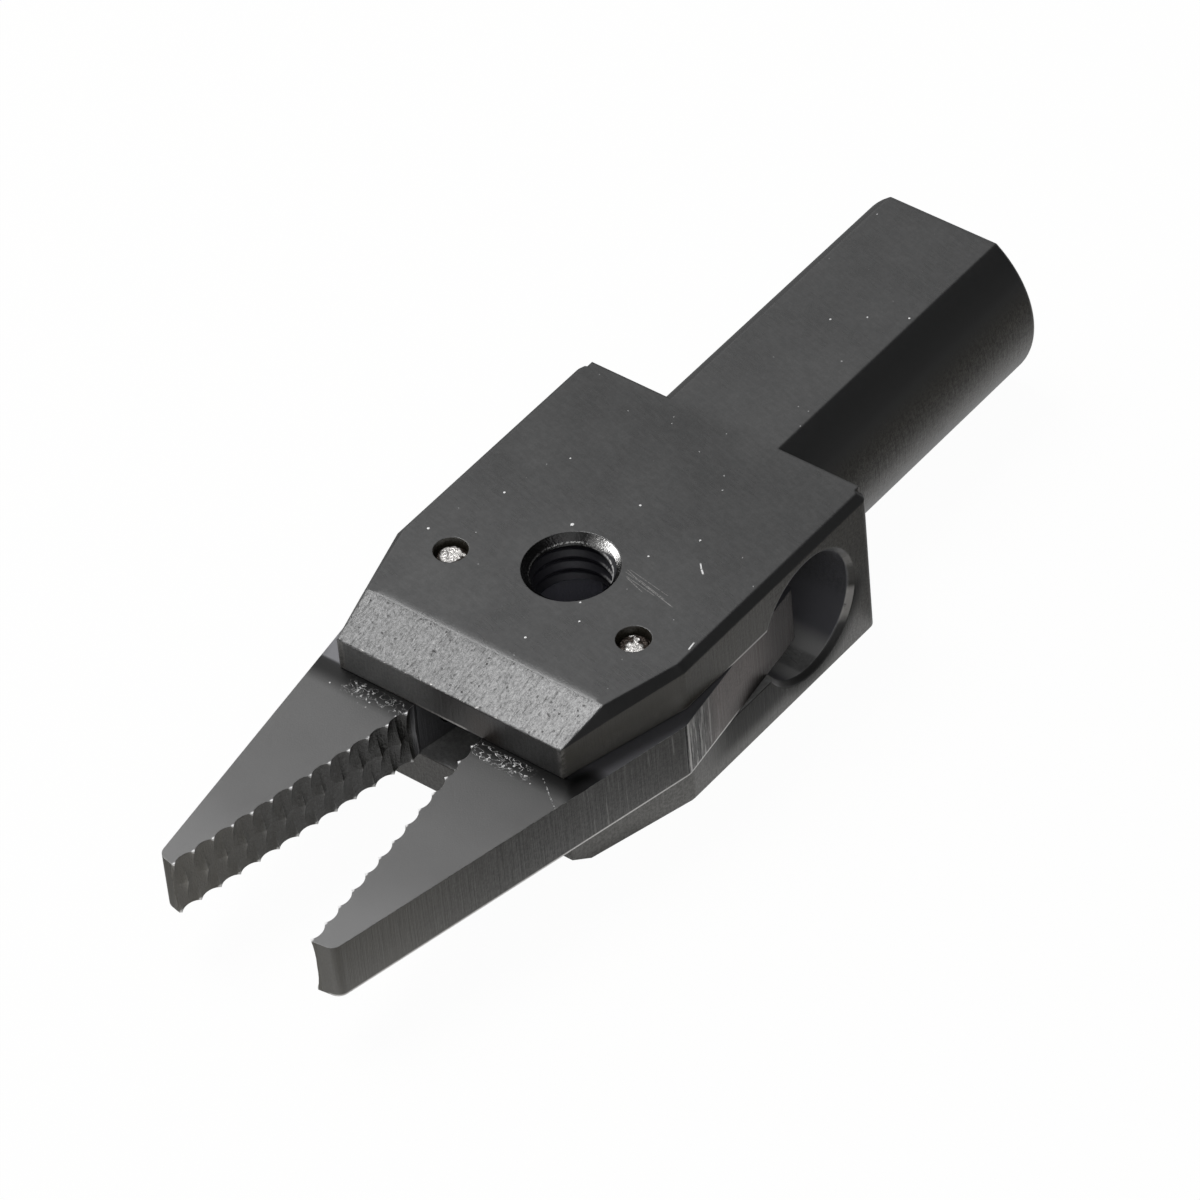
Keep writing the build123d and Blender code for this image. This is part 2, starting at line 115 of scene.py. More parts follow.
class Look:
    def __init__(self, name, tree=None):
        if tree is None:
            self.material = bpy.data.materials.new(name)
            self.material.use_nodes = True
            tree = self.material.node_tree
        self.tree = tree
        tree.nodes.clear()

    # one node of any kind: its settings are set first, then the values or links of its sockets
    def add(self, kind, settings=None, sockets=None, out=0):
        node = self.tree.nodes.new(kind)
        for key, value in (settings or {}).items():
            setattr(node, key, value)
        for key, value in (sockets or {}).items():
            if isinstance(value, Link):
                self.tree.links.new(value.socket, node.inputs[key])
            else:
                node.inputs[key].default_value = value
        return Link(self, node.outputs[out]) if len(node.outputs) else None

    # the place on the piece in millimetres, the same seen from above, and where its surface faces
    def place(self):
        origin = self.add("ShaderNodeTexCoord", out="Object")
        self.mmPlace = self.add(
            "ShaderNodeVectorMath", {"operation": "SCALE"}, {0: origin, "Scale": 1000.0}
        )
        parts = self.add("ShaderNodeSeparateXYZ", None, {0: self.mmPlace})
        facing = self.add("ShaderNodeSeparateXYZ", None, {0: origin.pick("Normal")})
        self.x, self.y, self.z = parts, parts.pick("Y"), parts.pick("Z")
        self.nx, self.ny, self.nz = facing, facing.pick("Y"), facing.pick("Z")
        self.plan = self.vector(self.x, self.y, 0.0)

    def vector(self, x, y, z):
        return self.add("ShaderNodeCombineXYZ", None, {0: x, 1: y, 2: z})

    # soft noise from 0 to 1 with its own grain per axis, in grains per millimetre
    def noise(self, grain, detail, rough, at=None):
        spot = self.add(
            "ShaderNodeVectorMath", {"operation": "MULTIPLY"}, {0: at or self.mmPlace, 1: grain}
        )
        return self.add(
            "ShaderNodeTexNoise",
            None,
            {"Vector": spot, "Scale": 1.0, "Detail": detail, "Roughness": rough},
        )

    # scattered round specks: cells of the given size, and only the share of them that is asked for
    def specks(self, cell, radius, share):
        cells = self.add(
            "ShaderNodeTexVoronoi", None, {"Vector": self.mmPlace, "Scale": 1.0 / cell}
        )
        chosen = self.add("ShaderNodeSeparateColor", None, {0: cells.pick("Color")})
        inside = cells.rise(radius * 1.3 / cell, radius * 0.6 / cell)
        return inside * chosen.rise(1 - share, 1.001 - share)

    # 1 on a thin straight mark between two points seen from above, fading at its ends
    def mark(self, start, end, width):
        a = np.array(start, float)
        along = np.array(end, float) - a
        length = float(np.hypot(*along))
        ux, uy = (along / length).tolist()
        dx, dy = self.x - float(a[0]), self.y - float(a[1])
        run = dx * ux + dy * uy
        off = abs(dy * ux - dx * uy)
        ends = run.rise(-0.05, 0.1) * run.rise(length + 0.05, length - 0.1)
        return off.rise(width, width * 0.4) * ends

    def blend(self, share, first, second):
        return self.add(
            "ShaderNodeMix", {"data_type": "RGBA"}, {0: share, 6: first, 7: second}, out=2
        )

    # distance between two places
    def away(self, here, there):
        return self.add(
            "ShaderNodeVectorMath", {"operation": "DISTANCE"}, {0: here, 1: there}, out="Value"
        )

    # distance from an upright line
    def around(self, x, y):
        return self.away(self.plan, (x, y, 0.0))

    def rounded(self, radius):
        return self.add("ShaderNodeBevel", {"samples": 6}, {"Radius": radius * mm})

    # how much the rounded surface turns away from the flat one: 0 on faces, up to 1 along edges
    def edgeShare(self, soft):
        flat = self.add("ShaderNodeNewGeometry", out="Normal")
        turn = self.add(
            "ShaderNodeVectorMath", {"operation": "DOT_PRODUCT"}, {0: soft, 1: flat}, out="Value"
        )
        return (1 - turn).rise(0.02, 0.16)

    def bump(self, height, depth, under=None):
        sockets = {"Height": height, "Distance": depth * mm, "Strength": 1.0}
        if under is not None:
            sockets["Normal"] = under
        return self.add("ShaderNodeBump", None, sockets)

    def finish(self, base, roughness, metallic, normal, index=1.5):
        sockets = {
            "Base Color": base,
            "Roughness": roughness,
            "Metallic": metallic,
            "IOR": index,
            "Normal": normal,
        }
        shader = self.add("ShaderNodeBsdfPrincipled", None, sockets)
        self.add("ShaderNodeOutputMaterial", None, {"Surface": shader})
        return self.material


def grey(value, warm=0.0):
    return (value * (1 + warm), value, value * (1 - warm), 1.0)


# the housing: dark anodised, with the wear of the photograph and with painted light and shade in places;
# lengths are in millimetres.
# A place loses its gloss where it is metallic over a base that is nearly black.
bodyFinish = {
    "index": 1.93,
    "base": grey(0.020, -0.03),
    "mottle": grey(0.034),
    "slopeBase": grey(0.17),
    "sideBase": (0.040, 0.036, 0.026, 1.0),
    # painted light: the taper's side is lighter toward its lower edge, against the jaw's shade
    "taperPaintedLight": (0.095, 0.092, 0.085, 1.0),
    # painted light: lighter matt greys in the cross hole's wall, floor and lower rim and in the slot stand
    # in for light reaching into them
    "borePaintedLight": (0.12, 0.12, 0.135, 1.0),
    "boreFloorPaintedLight": grey(0.36),
    "sillBase": grey(0.06),
    "slotPaintedLight": grey(0.42),
    "sunkBase": grey(0.05),
    # painted light and shade on the front face: one side lighter, darker below, darkest between the jaws
    "frontPaintedLight": {
        "right": grey(0.17),
        "left": grey(0.07),
        "middle": grey(0.040),
        "below": (0.036, 0.031, 0.022, 1.0),
    },
    "stain": (0.040, 0.027, 0.019, 1.0),
    # painted shade on the front face between the jaws
    "betweenJawsShade": (0.020, 0.014, 0.011, 1.0),
    "shade": grey(0.012),
    "pit": grey(0.010),
    # bare metal, for real wear and for painted highlights
    "wearAndHighlight": grey(0.46, 0.03),
    "dust": grey(0.85),
    # how strong the painted shade is under the jaw's tail and round the cross hole
    "holeAndTailShadeShare": 0.82,
    "scratchShare": 0.42,
    "topRoughness": 0.29,
    "slopeRoughness": 0.36,
    "sideRoughness": 0.34,
    # how softly the edges are broken: the bar's own, those of the holes, and the slope's crown
    "edgeRadius": 0.16,
    "rimRadius": 0.05,
    "crownRadius": 0.6,
    "millingAngle": 14.0,
    "threadAt": (27.8, 0.0),
    "pinAt": (29.9, 5.1),
    "crossHoleAt": 21.4,
    "crownAt": 33.9,
    "stainAt": (36.5, 1.8, 2.1),
    # start and end of the longer marks on the top face, and half their width
    "scratches": [
        ((26.91, 3.17), (27.39, 5.30), 0.030),
        ((26.80, 3.00), (27.20, 4.70), 0.022),
        ((27.00, 2.46), (27.37, 3.63), 0.026),
        ((26.60, 2.20), (26.95, 3.30), 0.022),
        ((26.53, 2.30), (26.94, 4.73), 0.018),
        ((26.75, 2.20), (27.05, 3.95), 0.018),
        ((26.95, 2.40), (27.25, 4.20), 0.018),
    ],
    "flecks": [
        ((24.50, 4.63), (24.78, 4.90), 0.045),
        ((24.78, 4.90), (24.99, 5.16), 0.055),
        ((28.62, 7.44), (29.10, 7.50), 0.050),
    ],
    # places of the white dots on the top face and on the shank's flat, with their radius
    "dots": [
        (25.64, -1.62, 0.10),
        (26.19, -0.24, 0.05),
        (23.01, 0.14, 0.07),
        (25.41, 2.45, 0.06),
        (23.34, 3.73, 0.06),
        (25.67, -5.43, 0.07),
        (22.30, -4.35, 0.05),
        (32.43, 1.11, 0.07),
        (29.37, 1.75, 0.06),
        (30.33, 2.45, 0.06),
        (29.36, -6.80, 0.08),
        (8.49, -0.21, 0.06),
        (7.46, 1.11, 0.05),
        (7.41, 4.04, 0.05),
        (6.48, 2.74, 0.06),
    ],
}


def makeBodyLook():
    f = bodyFinish
    look = Look("blackenedBody")
    look.place()
    x, y, z = look.x, look.y, look.z
    wide = abs(y)
    level = abs(look.nz)
    upward = look.nz.rise(0.9, 0.95)
    sideways = abs(look.ny)
    sideOn = sideways.rise(0.5, 0.8)
    hole = look.away(look.vector(x, 0.0, z), (f["crossHoleAt"], 0.0, 0.0))
    rim = look.around(*f["threadAt"])
    pinRim = look.away(look.vector(x, wide, 0.0), (*f["pinAt"], 0.0))

    # the faces: flats, slope, sides, the cross hole's wall and rim, the front, and the slot
    top = level.rise(0.975, 0.99)
    slope = look.nz.rise(0.93, 0.955) * (1 - top) * x.rise(33.0, 33.4)
    side = level.rise(0.5, 0.2)
    within = wide.rise(7.82, 7.75) * z.rise(3.3, 3.2) * z.rise(-3.3, -3.2)
    within = within * x.rise(18.0, 18.1) * x.rise(25.0, 24.6)
    outer = wide.rise(5.9, 6.1) * side * (1 - within)
    chamfer = sideways.rise(0.96, 0.88) * sideways.rise(0.4, 0.55) * hole.rise(3.5, 3.4)
    chamfer = chamfer * wide.rise(7.68, 7.74) * level.rise(0.9, 0.8)
    sill = hole.rise(3.11, 3.15) * hole.rise(3.5, 3.4) * z.rise(0.6, -0.6) * (1 - outer)
    front = look.nx.rise(0.9, 0.98) * x.rise(36.3, 36.4)
    slot = abs(z).rise(1.6, 1.56) * level.rise(0.8, 0.95)
    taper = x.rise(30.0, 30.6) * outer * z.rise(1.4, 1.5)
    sunk = rim.rise(2.3, 2.25) * rim.rise(1.9, 1.95) * z.rise(3.5, 3.6) * (1 - top)

    # milling streaks run nearly across the bar
    turned = look.add(
        "ShaderNodeVectorRotate",
        {"rotation_type": "Z_AXIS"},
        {"Vector": look.mmPlace, "Angle": math.radians(f["millingAngle"])},
    )
    streaks = look.noise((7.0, 0.9, 3.0), 2.0, 0.6, turned)
    cloudy = look.noise((3.2, 3.2, 3.2), 3.0, 0.6)
    cloud = look.noise((0.30, 0.30, 0.30), 3.0, 0.6)
    grain = look.noise((11.0, 11.0, 11.0), 3.0, 0.7)
    coarse = look.noise((4.5, 4.5, 4.5), 3.0, 0.65)
    fine = look.noise((6.0, 7.5, 7.0), 4.0, 0.8)
    dragged = look.noise((1.6, 8.0, 3.0), 3.0, 0.7)
    brushed = look.noise((6.0, 6.0, 0.35), 4.0, 0.7)

    # specks, dots and scratches
    dust = look.specks(0.75, 0.045, 0.10) * upward * coarse.rise(0.35, 0.65) * 0.6
    crumbs = look.specks(0.40, 0.030, 0.07) * upward * 0.35
    pits = look.specks(0.26, 0.050, 0.30) * slope * coarse.rise(0.35, 0.55) * 0.6
    dots = strongest(*[look.around(*at).rise(size, size * 0.6) for *at, size in f["dots"]])
    flecks = strongest(*[look.mark(*fleck) for fleck in f["flecks"]])
    scratched = strongest(*[look.mark(*scratch) for scratch in f["scratches"]])
    scratched = scratched * grain.rise(0.38, 0.52) * top
    pale = strongest(dust, crumbs, flecks * top, dots * top)

    # rims of the holes stay crisp, the bar's own edges are softly broken
    nearRim = rim.rise(2.7, 2.4).most(pinRim.rise(1.3, 1.0))
    crown = abs(x - f["crownAt"]).rise(1.0, 0.6) * wide.rise(6.3, 5.9) * upward
    radius = f["edgeRadius"] + (f["rimRadius"] - f["edgeRadius"]) * nearRim
    soft = look.rounded(radius + crown * f["crownRadius"])
    worn = look.edgeShare(soft) * coarse.rise(0.48, 0.62) * nearRim * 0.5

    # a thin painted highlight along the slot's upper edge, on the sides, as bare metal
    lip = z.rise(1.40, 1.50) * z.rise(1.64, 1.59) * x.rise(22.9, 23.4) * x.rise(30.8, 29.6)
    lip = lip * outer * coarse.rise(0.25, 0.42)
    # bare metal on the rear side of the cross hole's broken rim, part wear and part painted highlight
    # where the rim catches the light
    ring = hole.rise(3.07, 3.12) * hole.rise(3.36, 3.32) * wide.rise(7.72, 7.76)
    ring = ring * strongest(z.rise(-2.3, -1.8) * z.rise(-0.5, -0.9), z.rise(0.4, 0.9) * 0.3)
    ring = ring * x.rise(19.6, 19.2) * z.rise(1.8, 1.2) * cloudy.rise(0.20, 0.45)
    # bare metal on the front corners and the upper rear edges, part wear and part painted highlight
    corner = x.rise(36.22, 36.42) * wide.rise(5.9, 6.05) * side
    corner = corner * coarse.rise(0.42, 0.6) * z.rise(0.0, 0.5)
    corner = corner * (0.45 + y.rise(-5.5, -6.0) * 0.5)
    back = x.rise(16.83, 16.75) * outer * z.rise(1.0, 2.4) * sideOn * coarse.rise(0.35, 0.5)
    # sparse points along the slope's lower edge, and a painted highlight along the slot's edge at the
    # front
    beads = x.rise(36.36, 36.44) * look.nz.rise(0.2, 0.5) * coarse.rise(0.56, 0.66)
    under = front * z.rise(1.66, 1.58) * z.rise(1.2, 1.4) * y.rise(-4.2, -3.6) * y.rise(1.0, 0.6)
    # worn bare places and painted edge highlights together
    wornAndHighlit = strongest(lip, ring, corner, back * 0.7, beads * 0.8, under)

    # painted shade: the lower plate is darker close under the jaw's tail and round the hole
    beneath = z.rise(-3.9, -2.7) * z.rise(1.0, 0.0) * x.rise(30.0, 27.0) * x.rise(18.2, 20.0)
    holeAndTailShade = strongest(
        beneath * outer * sideOn,
        hole.rise(4.4, 3.3) * z.rise(0.5, -1.0) * outer * sideOn,
        chamfer * z.rise(-1.9, -2.5) * 1.1,
        chamfer * z.rise(2.2, 1.2) * z.rise(-0.9, -0.5) * 0.4,
    )
    holeAndTailShaded = holeAndTailShade * f["holeAndTailShadeShare"]
    # brushed sides, duller below and behind; the long edge strips are darker along the taper
    scuff = (brushed.rise(0.62, 0.36) * 0.10 + fine.rise(0.62, 0.38) * 0.36) * side * (1 - taper)
    scuff = scuff * (1 - z.rise(1.4, 1.6) * x.rise(23.0, 25.0) * 0.45)
    strip = look.nz.rise(0.45, 0.55) * look.nz.rise(0.95, 0.92) * sideways.rise(0.2, 0.35)
    strip = strip * (0.10 + x.rise(29.0, 31.0) * 0.24)
    # painted shade on the front face between the jaws, and a brown stain there
    betweenJawsShade = front * abs(y - 1.0).rise(2.6, 0.8) * z.rise(0.0, 0.5) * 0.44
    stain = look.away(look.mmPlace, f["stainAt"]).rise(1.3, 0.3) * front
    # the top's dull haze and the slope's grit
    rubs = x.rise(29.0, 21.0) * x.rise(16.0, 17.5) * 0.13 + streaks.rise(0.62, 0.42) * 0.035
    haze = (rubs + cloudy.rise(0.68, 0.38) * 0.08 + grain.rise(0.60, 0.40) * 0.06) * top
    grit = (fine.rise(0.74, 0.28) * 0.54 + dragged.rise(0.5, 0.3) * 0.24 + 0.12) * slope
    dull = grit.most(haze)

    frontLight = f["frontPaintedLight"]
    mottle = (streaks - 0.5) * 0.35 + (cloud - 0.5) * 1.2 + (fine - 0.5) * 1.2 + 0.35
    lighter = grain.rise(0.26, 0.79) * 0.5 + dragged.rise(0.4, 0.7) * 0.35
    lighter = lighter + y.rise(-3.0, 6.0) * 0.45
    # painted light and shade on the front face, darkest between the jaws
    lit = look.blend(y.rise(2.5, 3.5), frontLight["right"], frontLight["left"])
    lit = look.blend(z.rise(0.0, 0.5), frontLight["below"], lit)
    apart = abs(y - 1.0).rise(1.4, 4.0).most(z.rise(0.0, -0.5))
    base = look.blend(side, f["base"], f["sideBase"])
    # painted light in the shaded cross hole and slot
    base = look.blend(within, base, f["borePaintedLight"])
    base = look.blend(within * z.rise(-2.5, -3.0), base, f["boreFloorPaintedLight"])
    base = look.blend(sill, base, f["sillBase"])
    base = look.blend(slot, base, f["slotPaintedLight"])
    base = look.blend(mottle * top, base, f["mottle"])
    base = look.blend(lighter * slope, base, f["slopeBase"])
    base = look.blend(dull, base, f["shade"])
    base = look.blend(pits, base, f["pit"])
    base = look.blend(front, base, look.blend(apart, frontLight["middle"], lit))
    base = look.blend(stain * (0.4 + grain), base, f["stain"])
    base = look.blend(scuff, base, f["shade"])
    # painted shade between the jaws
    base = look.blend(betweenJawsShade, base, f["betweenJawsShade"])
    # painted shade under the tail and round the hole, and the darker edge strips
    base = look.blend(holeAndTailShaded.most(strip), base, f["shade"])
    # painted light: the taper's side lighter toward the jaw below it
    base = look.blend(taper * (0.04 + z.rise(2.9, 1.8) * 0.96), base, f["taperPaintedLight"])
    base = look.blend(worn.most(wornAndHighlit), base, f["wearAndHighlight"])
    base = look.blend(scratched * f["scratchShare"], base, f["wearAndHighlight"])
    base = look.blend(sunk, base, f["sunkBase"])
    base = look.blend(pale, base, f["dust"])

    metallic = strongest(worn, sunk, wornAndHighlit, pits, dull, holeAndTailShaded, strip, scuff, betweenJawsShade)
    metallic = metallic * (1 - sill * (1 - chamfer * 0.5)) * (1 - within)
    sideRough = f["sideRoughness"] + (brushed - 0.5) * 0.2 + holeAndTailShade * 0.12
    rough = (f["topRoughness"] + (streaks - 0.5) * 0.06 + (cloud - 0.5) * 0.14) * top
    rough = rough + (f["slopeRoughness"] + (grain - 0.5) * 0.2) * slope
    rough = rough + sideRough * (1 - top) * (1 - slope)
    height = grain * 0.3 * top
    height = height + (grain * 1.4 + coarse * 2.2 + dragged * 2.8 - pits * 3.0) * slope
    height = height + (brushed * 3.4 + grain * 1.6) * side + pale * 1.5 + coarse * 2.0 * sunk
    normal = look.bump(height, 0.008, soft)
    return look.finish(base, rough, metallic, normal, f["index"])


# the jaws: blackened steel; lengths are in millimetres, and along and across are measured
# with the jaws turned parallel
jawFinish = {
    "index": 2.04,
    "base": grey(0.022, 0.02),
    "sideBase": (0.020, 0.018, 0.013, 1.0),
    # painted light: toward the tips the sides, top and teeth are lighter, away from the body's shade
    "sideTipLight": (0.070, 0.064, 0.048, 1.0),
    "topTipLight": grey(0.055),
    "toothTipLight": (0.170, 0.158, 0.130, 1.0),
    "toothSpeck": grey(0.16),
    # painted light: lighter greys under the plate, behind the teeth and round the threaded hole, where
    # they are in shade
    "tuckFillLight": (0.12, 0.12, 0.135, 1.0),
    "innerFillLight": (0.065, 0.065, 0.072, 1.0),
    "wellFillLight": (0.16, 0.16, 0.20, 1.0),
    "tailBase": (0.095, 0.060, 0.050, 1.0),
    "shade": grey(0.010),
    # bright metal for wear and for painted highlights on the crests and edges
    "wearAndHighlight": grey(0.62, 0.02),
    "dust": grey(0.85),
    "topRoughness": 0.38,
    "sideRoughness": 0.36,
    "edgeRadius": 0.045,
    "pivot": (29.9, 5.1),
    "threadAt": (27.8, 0.0),
    # the teeth: the line that their cusps stand on, their pitch, and the cusps' height
    "gripLine": 0.62,
    "pitch": 1.08,
    "cuspHeight": 1.48,
    # what differs: degrees open at rest, the last cusp, the crease in the side, the spot of
    # painted shade beside the plate's front corner, how far painted shade darkens the top toward the
    # plate, how strong the curls are, and thin broken hairs of bright metal on top
    "jaw_left": {
        "side": 1.0,
        "opening": 7.15,
        "tip": 49.58,
        "crease": 31.42,
        "pocket": (36.4, 7.3),
        "pocketShare": 0.93,
        "fade": 0.24,
        "curls": 1.0,
        "hairs": [((36.95, 5.40), (38.10, 6.95), 0.035), ((35.95, 4.92), (36.40, 5.45), 0.035)],
    },
    "jaw_right": {
        "side": -1.0,
        "opening": 11.35,
        "tip": 49.33,
        "crease": 30.52,
        "pocket": (36.4, -8.6),
        "pocketShare": 0.45,
        "fade": 0.03,
        "curls": 0.55,
        "hairs": [],
    },
}


def makeJawLook(node):
    f = jawFinish
    own = f[node]
    look = Look("jawSteel_" + node)
    look.place()
    x, z = look.x, look.z
    c = math.cos(math.radians(own["opening"]))
    s = math.sin(math.radians(own["opening"]))
    dx = x - f["pivot"][0]
    dy = look.y * own["side"] - f["pivot"][1]
    along = dx * c + dy * s + f["pivot"][0]
    across = dy * c - dx * s + f["pivot"][1]

    cloud = look.noise((0.35, 0.35, 0.35), 3.0, 0.6)
    grain = look.noise((12.0, 12.0, 12.0), 3.0, 0.7)
    coarse = look.noise((5.0, 5.0, 5.0), 2.0, 0.6)
    brushed = look.noise((7.0, 7.0, 0.25), 4.0, 0.72)
    filing = look.noise((5.0, 5.0, 0.30), 4.0, 0.75)
    fine = look.noise((6.0, 7.5, 7.0), 4.0, 0.8)
    curling = look.noise((3.2, 2.4, 3.0), 2.0, 0.6)

    # the faces: top, sides, the outer side and its tail, the part under the plate, round the
    # threaded hole, and behind the teeth
    level = abs(look.nz)
    top = level.rise(0.9, 0.98)
    side = level.rise(0.5, 0.2)
    outer = side * across.rise(3.0, 3.4).most(along.rise(36.0, 37.0) * across.rise(1.2, 1.4))
    tail = along.rise(31.6, 31.3) * outer
    tuck = x.rise(36.6, 36.2) * top
    well = look.around(*f["threadAt"]).rise(3.4, 2.9) * side
    inner = along.rise(36.3, 36.0) * along.rise(33.0, 33.6) * across.rise(1.6, 1.2) * side

    # the teeth: crests lighter, part wear and part painted highlight, valleys darkened as painted
    # shade, and a painted white glint on each cusp, where the distance along from the last cusp is
    # a whole number of pitches
    toothed = along.rise(35.9, 36.4) * across.rise(1.0, 0.95)
    crest = across.rise(f["gripLine"] + 0.07, f["gripLine"] + 0.01) * toothed
    valley = across.rise(f["gripLine"] + 0.03, f["gripLine"] + 0.20) * toothed
    valley = valley * level.rise(0.9, 0.7)
    tips = crest * (z * z).rise(1.3, 2.0)
    step = (along - own["tip"]) / f["pitch"] + 40.5
    beyond = abs(step.fraction() - 0.5) * f["pitch"]
    cuspGlint = look.away(look.vector(beyond, abs(z), across), (0.0, f["cuspHeight"], f["gripLine"]))
    cuspGlint = cuspGlint.rise(0.20, 0.10) * toothed * coarse.rise(0.30, 0.42)

    # the outer side: file marks, the crease darkened as painted shade and its burr, painted shade
    # toward the tail, a bare lower edge, and nicks
    grooved = filing.rise(0.50, 0.38) * tail * along.rise(28.0, 30.8)
    filed = filing.rise(0.50, 0.62) * tail * along.rise(28.0, 30.6)
    crease = abs(along - own["crease"]).rise(0.10, 0.04) * outer
    burr = abs(along - own["crease"] + 0.16).rise(0.09, 0.04) * outer
    brown = along.rise(30.4, 28.6) * outer
    shade = along.rise(27.2, 23.0).most(along.rise(30.5, 25.5) * z.rise(0.3, -1.3)) * outer
    lowerEdge = z.rise(-1.37, -1.42) * outer * along.rise(26.0, 28.5) * coarse.rise(0.2, 0.36)
    nicks = brushed.rise(0.58, 0.68) * outer * along.rise(31.2, 31.6) * along.rise(40.0, 34.0)
    scuff = (brushed.rise(0.62, 0.36) * 0.18 + fine.rise(0.62, 0.38) * 0.26) * side
    scuff = scuff * (1 - along.rise(40.0, 48.0) * 0.7) * (1 - inner) * (1 - well)

    # at the plate's front edge: a band of painted shade, and thin bright curls, grains and hairs where it
    # rubs
    band = x.rise(36.2, 36.4) * x.rise(38.1, 36.9) * top * look.nz.rise(0.0, 0.5)
    pocket = look.around(*own["pocket"]).rise(1.7, 0.6) * top
    band = (band * 0.83).most(pocket * own["pocketShare"])
    curls = abs(curling - 0.5).rise(0.034, 0.014) * x.rise(37.65, 37.35) * x.rise(36.6, 36.8)
    curls = curls * (0.16 + coarse.rise(0.50, 0.60) * 0.75) * abs(across - 2.3).rise(1.9, 1.3)
    grains = look.specks(0.30, 0.045, 0.06) * x.rise(38.2, 37.2) * x.rise(36.3, 36.5) * 0.7
    broken = grain.rise(0.50, 0.58) * coarse.rise(0.40, 0.48)
    hairs = [look.mark(*hair) * broken for hair in own["hairs"]]
    sparkle = strongest(grains, *hairs, curls * own["curls"]) * top
    dust = look.specks(0.9, 0.05, 0.10) * look.nz.rise(0.9, 0.95) * 0.6

    soft = look.rounded(f["edgeRadius"])
    worn = look.edgeShare(soft) * coarse.rise(0.38, 0.55)
    dull = strongest(
        shade * 0.8,
        band,
        crease * 0.9,
        valley * 0.4,
        grooved * 0.9,
        scuff,
        tail * 0.1,
        # painted shade on the top toward the plate, and less dull at the tip
        x.rise(46.0, 36.5) * top * own["fade"],
        top * (0.09 - along.rise(44.0, 48.0) * 0.09),
    )
    bright = strongest(
        worn * 0.5,
        crest * (0.28 + along.rise(42.0, 49.0) * 0.14),
        tips * 0.5,
        lowerEdge,
        filed * 0.75,
        burr * 0.8,
        nicks * 0.30,
    )

    base = look.blend(side, f["base"], f["sideBase"])
    # painted light toward the tip
    base = look.blend(along.rise(38.0, 48.0) * side * 0.8, base, f["sideTipLight"])
    # painted light in the shaded places under the plate, behind the teeth and round the threaded hole
    base = look.blend(tuck, base, f["tuckFillLight"])
    base = look.blend(inner, base, f["innerFillLight"])
    base = look.blend(well, base, f["wellFillLight"])
    base = look.blend(coarse.rise(0.55, 0.68) * toothed * side * 0.4, base, f["toothSpeck"])
    base = look.blend(top * along.rise(43.5, 49.0), base, f["topTipLight"])
    base = look.blend(toothed * side * along.rise(43.0, 49.0) * 0.8, base, f["toothTipLight"])
    base = look.blend(brown * 0.8, base, f["tailBase"])
    base = look.blend(dull, base, f["shade"])
    base = look.blend(bright, base, f["wearAndHighlight"])
    # near-white for dust and bright curls, and for the painted glint on each cusp
    base = look.blend(strongest(dust, sparkle, cuspGlint), base, f["dust"])
    rough = f["topRoughness"] + (cloud - 0.5) * 0.12 + (grain - 0.5) * 0.1
    rough = rough * top + (f["sideRoughness"] + (brushed - 0.5) * 0.25) * (1 - top)
    metallic = bright.most(dull) * (1 - sparkle.most(cuspGlint))
    height = (grain * 0.5 + cloud * 0.4) * top + sparkle * 2.0
    height = height + (brushed * 3.6 + grain) * side + (filed - grooved - crease) * 3.0
    height = height + (grain * 2.0 + coarse * 4.0) * toothed * side
    normal = look.bump(height, 0.008, soft)
    return look.finish(base, rough, metallic, normal, f["index"])


# the pins: their ends were hammered into lumps off the middle; the lumps are painted bright as
# highlights where they catch the light, with painted shade and stain around them
pinFinish = {
    "tint": grey(0.93, 0.03),
    "stain": (0.045, 0.034, 0.028, 1.0),
    "roughness": 0.33,
    "metallic": 0.60,
    "edgeRadius": 0.06,
    # middle and radius of each lump, in millimetres
    "left": [((30.08, 5.22), 0.40), ((29.64, 4.98), 0.16), ((29.52, 4.62), 0.10)],
    "right": [((29.86, -5.16), 0.52), ((29.50, -4.62), 0.10)],
}


def makePinLook(side):
    f = pinFinish
    look = Look("pinSteel_" + side)
    look.place()
    dents = look.noise((4.6, 4.6, 4.6), 2.0, 0.55)
    grain = look.noise((11.0, 11.0, 11.0), 3.0, 0.7)
    pits = look.specks(0.34, 0.06, 0.40)
    uneven = (dents - 0.5) * 0.42
    reaches = [(look.around(*middle) + uneven, size) for middle, size in f[side]]
    lump = strongest(*[reach.rise(size + 0.05, size - 0.05) for reach, size in reaches])
    lump = lump * look.nz.rise(0.3, 0.6)
    # painted highlight on the lumps, painted shade and stain around them
    bright = lump * (1 - pits * 0.8) * (0.88 + grain * 0.6)
    base = look.blend(bright, f["stain"], f["tint"])
    rough = f["roughness"] + (grain - 0.5) * 0.3
    height = dents * 15.0 + lump * 7.0 + grain * 1.6 - pits * 3.0
    normal = look.bump(height, 0.018, look.rounded(f["edgeRadius"]))
    return look.finish(base, rough, f["metallic"], normal)


